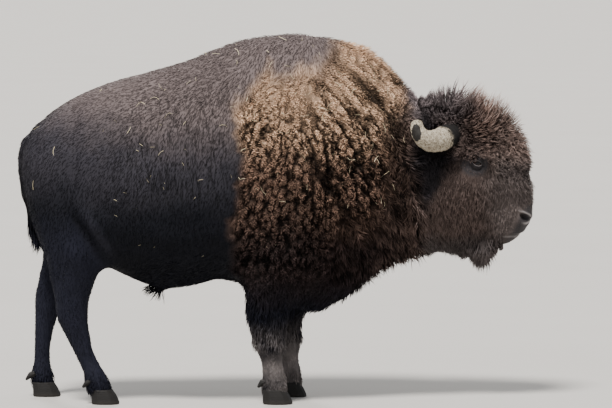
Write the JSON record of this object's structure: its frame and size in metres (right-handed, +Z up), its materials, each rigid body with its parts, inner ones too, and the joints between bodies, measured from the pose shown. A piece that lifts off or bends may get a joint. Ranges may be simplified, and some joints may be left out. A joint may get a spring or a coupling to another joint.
{
  "type": "american bison",
  "caption": "Adult bull American bison standing square in side profile, with a high shoulder hump, woolly cape, short curved horns, beard and cloven hooves.",
  "frame": {"origin": "on the ground under the middle of the whole body", "axes": "+X towards the nose, +Y towards the animal's left, +Z up"},
  "size_m": [2.4844, 0.783, 1.7793],
  "materials": {
    "cape_hair": "woolly hair, tan above and rust brown below, with dark clefts",
    "dark_hair": "long soft blackish brown hair",
    "short_hair": "short flat grey-brown hair",
    "nose_skin": "bare dark skin, moist about the nostrils",
    "horn": "worn horn with dry mud on it",
    "hoof": "scuffed dark hoof",
    "eye": "wet dark eye"
  },
  "bodies": {
    "root": {"barrel": "short_hair", "beard": "dark_hair", "crown": "dark_hair", "dewclaw_fore_left_inner": "hoof", "dewclaw_fore_left_outer": "hoof", "dewclaw_fore_right_inner": "hoof", "dewclaw_fore_right_outer": "hoof", "dewclaw_hind_left_inner": "hoof", "dewclaw_hind_left_outer": "hoof", "dewclaw_hind_right_inner": "hoof", "dewclaw_hind_right_outer": "hoof", "ear_left": "dark_hair", "ear_right": "dark_hair", "eye_left": "eye", "eye_right": "eye", "foreleg_left_lower": "short_hair", "foreleg_left_upper": "dark_hair", "foreleg_right_lower": "short_hair", "foreleg_right_upper": "dark_hair", "head": "dark_hair", "hindleg_left_lower": "short_hair", "hindleg_left_upper": "short_hair", "hindleg_right_lower": "short_hair", "hindleg_right_upper": "short_hair", "hoof_fore_left_inner": "hoof", "hoof_fore_left_outer": "hoof", "hoof_fore_right_inner": "hoof", "hoof_fore_right_outer": "hoof", "hoof_hind_left_inner": "hoof", "hoof_hind_left_outer": "hoof", "hoof_hind_right_inner": "hoof", "hoof_hind_right_outer": "hoof", "horn_left": "horn", "horn_right": "horn", "muzzle": "nose_skin", "neck": "cape_hair", "rump": "short_hair", "sheath": "dark_hair", "shoulder_hump": "cape_hair", "tail": "short_hair", "tail_tuft": "dark_hair"}
  },
  "joints": []
}
